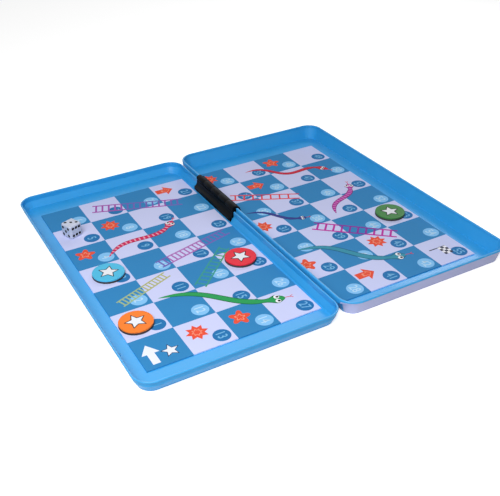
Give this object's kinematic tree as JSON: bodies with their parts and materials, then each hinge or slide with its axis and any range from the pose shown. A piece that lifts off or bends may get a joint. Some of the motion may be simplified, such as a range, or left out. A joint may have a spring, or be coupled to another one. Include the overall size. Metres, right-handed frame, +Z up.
{
  "type": "travel board game case",
  "caption": "Shallow hinged tin case that opens flat into a two-part magnetic snakes and ladders board, with magnetic counters and a die.",
  "frame": {"origin": "middle of the open board on the table it lies on", "axes": "+X across the open board from the lid tray to the base tray, +Y along the hinge pin away from the player, +Z up"},
  "size_m": [0.2026, 0.1832, 0.0099],
  "materials": {
    "lid_tin": "gloss printed tinplate",
    "base_tin": "gloss printed tinplate",
    "printed_sheet": "printed satin vinyl",
    "black_plastic": "satin moulding",
    "pin_steel": "drawn wire",
    "magnet": "matt",
    "orange_face": "printed",
    "light_blue_face": "printed",
    "red_face": "printed",
    "green_face": "printed",
    "die_plastic": "gloss"
  },
  "bodies": {
    "base": {"base_tray": "base_tin", "base_board_sheet": "printed_sheet", "hinge_base_leaf": "black_plastic", "hinge_pin": "pin_steel"},
    "lid": {"lid_tray": "lid_tin", "lid_board_sheet": "printed_sheet", "hinge_lid_leaf": "black_plastic"},
    "counter_orange": {"counter_orange_magnet": "magnet", "counter_orange_face": "orange_face"},
    "counter_light_blue": {"counter_light_blue_magnet": "magnet", "counter_light_blue_face": "light_blue_face"},
    "counter_red": {"counter_red_magnet": "magnet", "counter_red_face": "red_face"},
    "counter_green": {"counter_green_magnet": "magnet", "counter_green_face": "green_face"},
    "die": {"die": "die_plastic"}
  },
  "joints": [
    {"name": "lid_hinge", "type": "hinge", "parent": "base", "child": "lid", "pos_m": [0, 0.03728, 0.00805], "axis": [0, 1, 0], "range_deg": [0, 180]},
    {"name": "lift_orange", "type": "slide", "parent": "lid", "child": "counter_orange", "axis": [0, 0, 1], "range_m": [0, 0.0024]},
    {"name": "lift_light_blue", "type": "slide", "parent": "lid", "child": "counter_light_blue", "axis": [0, 0, 1], "range_m": [0, 0.0024]},
    {"name": "lift_red", "type": "slide", "parent": "lid", "child": "counter_red", "axis": [0, 0, 1], "range_m": [0, 0.0024]},
    {"name": "lift_green", "type": "slide", "parent": "base", "child": "counter_green", "axis": [0, 0, 1], "range_m": [0, 0.0024]},
    {"name": "lift_die", "type": "slide", "parent": "lid", "child": "die", "axis": [0, 0, 1], "range_m": [0, 0.0024]}
  ]
}
